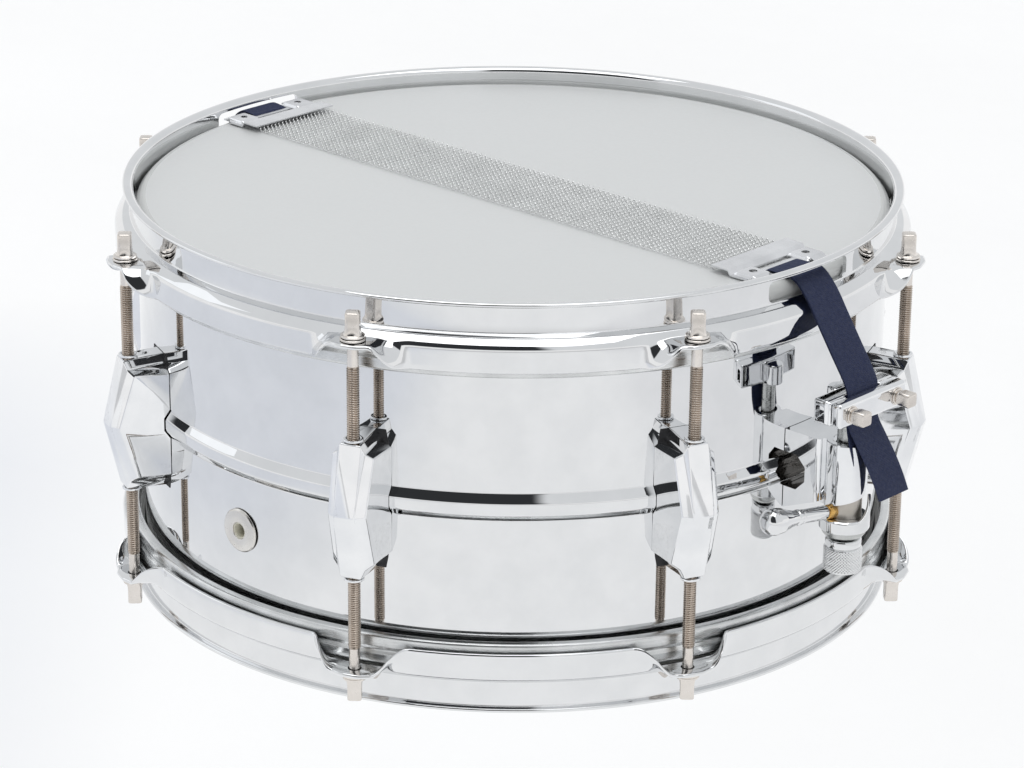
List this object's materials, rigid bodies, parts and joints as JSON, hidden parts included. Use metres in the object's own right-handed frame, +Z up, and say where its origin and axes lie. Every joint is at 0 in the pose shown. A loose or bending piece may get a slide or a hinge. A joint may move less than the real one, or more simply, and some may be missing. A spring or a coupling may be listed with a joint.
{
  "type": "snare drum",
  "caption": "Metal-shell snare drum with pressed hoops, faceted lugs, tension rods and a piston throw-off with fabric straps, shown snare side up.",
  "frame": {"origin": "on the drum's axis, at the lip of the batter hoop on which the drum stands", "axes": "+Z up, from the batter side to the snare side; +X towards the strainer, with the snare strands along X; the vent is on the -Y side"},
  "size_m": [0.453, 0.379, 0.192],
  "materials": {
    "chrome": "polished chrome plate",
    "nickel_steel": "nickel-plated steel, slightly worn and warm",
    "snare_steel": "drawn steel wire and stamped plate",
    "flesh_hoop_aluminium": "plain extruded aluminium",
    "snare_side_film": "hazy polyester film with a clear collar",
    "batter_film": "coated white polyester film",
    "strap_ribbon": "ribbed navy grosgrain ribbon"
  },
  "bodies": {
    "drum": {"shell": "chrome", "vent_grommet": "chrome", "batter_counter_hoop": "chrome", "snare_side_counter_hoop": "chrome", "batter_head": "batter_film", "snare_side_head": "snare_side_film", "batter_flesh_hoop": "flesh_hoop_aluminium", "snare_side_flesh_hoop": "flesh_hoop_aluminium", "lug_1": "chrome", "lug_2": "chrome", "lug_3": "chrome", "lug_4": "chrome", "lug_5": "chrome", "lug_6": "chrome", "lug_7": "chrome", "lug_8": "chrome", "strainer_base": "chrome", "butt_base": "chrome", "butt_clamp_plate": "chrome", "strainer_mount_screw_a": "nickel_steel", "strainer_mount_screw_b": "nickel_steel", "butt_mount_screw_a": "nickel_steel", "butt_mount_screw_b": "nickel_steel", "snare_strands": "snare_steel", "strainer_end_plate": "snare_steel", "butt_end_plate": "snare_steel", "strainer_strap": "strap_ribbon", "butt_strap": "strap_ribbon"},
    "snare_side_rod_1": {"snare_side_rod_1": "nickel_steel"},
    "snare_side_rod_2": {"snare_side_rod_2": "nickel_steel"},
    "snare_side_rod_3": {"snare_side_rod_3": "nickel_steel"},
    "snare_side_rod_4": {"snare_side_rod_4": "nickel_steel"},
    "snare_side_rod_5": {"snare_side_rod_5": "nickel_steel"},
    "snare_side_rod_6": {"snare_side_rod_6": "nickel_steel"},
    "snare_side_rod_7": {"snare_side_rod_7": "nickel_steel"},
    "snare_side_rod_8": {"snare_side_rod_8": "nickel_steel"},
    "batter_side_rod_1": {"batter_side_rod_1": "nickel_steel"},
    "batter_side_rod_2": {"batter_side_rod_2": "nickel_steel"},
    "batter_side_rod_3": {"batter_side_rod_3": "nickel_steel"},
    "batter_side_rod_4": {"batter_side_rod_4": "nickel_steel"},
    "batter_side_rod_5": {"batter_side_rod_5": "nickel_steel"},
    "batter_side_rod_6": {"batter_side_rod_6": "nickel_steel"},
    "batter_side_rod_7": {"batter_side_rod_7": "nickel_steel"},
    "batter_side_rod_8": {"batter_side_rod_8": "nickel_steel"},
    "lever": {"throw_off_lever": "chrome"},
    "clamp": {"piston": "chrome", "strainer_clamp_block": "chrome", "strainer_clamp_plate": "chrome"},
    "knob": {"adjust_knob": "chrome"},
    "strainer_clamp_screw_a": {"strainer_clamp_screw_a": "nickel_steel"},
    "strainer_clamp_screw_b": {"strainer_clamp_screw_b": "nickel_steel"},
    "butt_clamp_screw_a": {"butt_clamp_screw_a": "nickel_steel"},
    "butt_clamp_screw_b": {"butt_clamp_screw_b": "nickel_steel"}
  },
  "joints": [
    {"name": "snare_side_rod_1_turn", "type": "hinge", "parent": "drum", "child": "snare_side_rod_1", "pos_m": [0.17738, 0.07347, 0.15], "axis": [0, 0, 1], "range_deg": [-360, 360]},
    {"name": "snare_side_rod_2_turn", "type": "hinge", "parent": "drum", "child": "snare_side_rod_2", "pos_m": [0.07347, 0.17738, 0.15], "axis": [0, 0, 1], "range_deg": [-360, 360]},
    {"name": "snare_side_rod_3_turn", "type": "hinge", "parent": "drum", "child": "snare_side_rod_3", "pos_m": [-0.07347, 0.17738, 0.15], "axis": [0, 0, 1], "range_deg": [-360, 360]},
    {"name": "snare_side_rod_4_turn", "type": "hinge", "parent": "drum", "child": "snare_side_rod_4", "pos_m": [-0.17738, 0.07347, 0.15], "axis": [0, 0, 1], "range_deg": [-360, 360]},
    {"name": "snare_side_rod_5_turn", "type": "hinge", "parent": "drum", "child": "snare_side_rod_5", "pos_m": [-0.17738, -0.07347, 0.15], "axis": [0, 0, 1], "range_deg": [-360, 360]},
    {"name": "snare_side_rod_6_turn", "type": "hinge", "parent": "drum", "child": "snare_side_rod_6", "pos_m": [-0.07347, -0.17738, 0.15], "axis": [0, 0, 1], "range_deg": [-360, 360]},
    {"name": "snare_side_rod_7_turn", "type": "hinge", "parent": "drum", "child": "snare_side_rod_7", "pos_m": [0.07347, -0.17738, 0.15], "axis": [0, 0, 1], "range_deg": [-360, 360]},
    {"name": "snare_side_rod_8_turn", "type": "hinge", "parent": "drum", "child": "snare_side_rod_8", "pos_m": [0.17738, -0.07347, 0.15], "axis": [0, 0, 1], "range_deg": [-360, 360]},
    {"name": "batter_side_rod_1_turn", "type": "hinge", "parent": "drum", "child": "batter_side_rod_1", "pos_m": [0.17738, 0.07347, 0.042], "axis": [0, 0, 1], "range_deg": [-360, 360]},
    {"name": "batter_side_rod_2_turn", "type": "hinge", "parent": "drum", "child": "batter_side_rod_2", "pos_m": [0.07347, 0.17738, 0.042], "axis": [0, 0, 1], "range_deg": [-360, 360]},
    {"name": "batter_side_rod_3_turn", "type": "hinge", "parent": "drum", "child": "batter_side_rod_3", "pos_m": [-0.07347, 0.17738, 0.042], "axis": [0, 0, 1], "range_deg": [-360, 360]},
    {"name": "batter_side_rod_4_turn", "type": "hinge", "parent": "drum", "child": "batter_side_rod_4", "pos_m": [-0.17738, 0.07347, 0.042], "axis": [0, 0, 1], "range_deg": [-360, 360]},
    {"name": "batter_side_rod_5_turn", "type": "hinge", "parent": "drum", "child": "batter_side_rod_5", "pos_m": [-0.17738, -0.07347, 0.042], "axis": [0, 0, 1], "range_deg": [-360, 360]},
    {"name": "batter_side_rod_6_turn", "type": "hinge", "parent": "drum", "child": "batter_side_rod_6", "pos_m": [-0.07347, -0.17738, 0.042], "axis": [0, 0, 1], "range_deg": [-360, 360]},
    {"name": "batter_side_rod_7_turn", "type": "hinge", "parent": "drum", "child": "batter_side_rod_7", "pos_m": [0.07347, -0.17738, 0.042], "axis": [0, 0, 1], "range_deg": [-360, 360]},
    {"name": "batter_side_rod_8_turn", "type": "hinge", "parent": "drum", "child": "batter_side_rod_8", "pos_m": [0.17738, -0.07347, 0.042], "axis": [0, 0, 1], "range_deg": [-360, 360]},
    {"name": "lever_swing", "type": "hinge", "parent": "drum", "child": "lever", "pos_m": [0.204, 0, 0.084], "axis": [0, 0, 1], "range_deg": [0, 110]},
    {"name": "clamp_slide", "type": "slide", "parent": "drum", "child": "clamp", "axis": [0, 0, 1], "range_m": [0, 0.005], "deforming": ["strainer_strap"]},
    {"name": "knob_turn", "type": "hinge", "parent": "drum", "child": "knob", "pos_m": [0.204, 0, 0.06], "axis": [0, 0, 1], "range_deg": [-360, 360]},
    {"name": "strainer_clamp_screw_a_turn", "type": "hinge", "parent": "clamp", "child": "strainer_clamp_screw_a", "pos_m": [0.215, -0.016, 0.13475], "axis": [1, 0, 0], "range_deg": [-360, 360]},
    {"name": "strainer_clamp_screw_b_turn", "type": "hinge", "parent": "clamp", "child": "strainer_clamp_screw_b", "pos_m": [0.215, 0.016, 0.13475], "axis": [1, 0, 0], "range_deg": [-360, 360]},
    {"name": "butt_clamp_screw_a_turn", "type": "hinge", "parent": "drum", "child": "butt_clamp_screw_a", "pos_m": [-0.215, -0.016, 0.13475], "axis": [-1, 0, 0], "range_deg": [-360, 360]},
    {"name": "butt_clamp_screw_b_turn", "type": "hinge", "parent": "drum", "child": "butt_clamp_screw_b", "pos_m": [-0.215, 0.016, 0.13475], "axis": [-1, 0, 0], "range_deg": [-360, 360]}
  ],
  "couplings": [
    {"joint": "clamp_slide", "follows": "lever_swing", "m_per_rad": 0.0026}
  ]
}
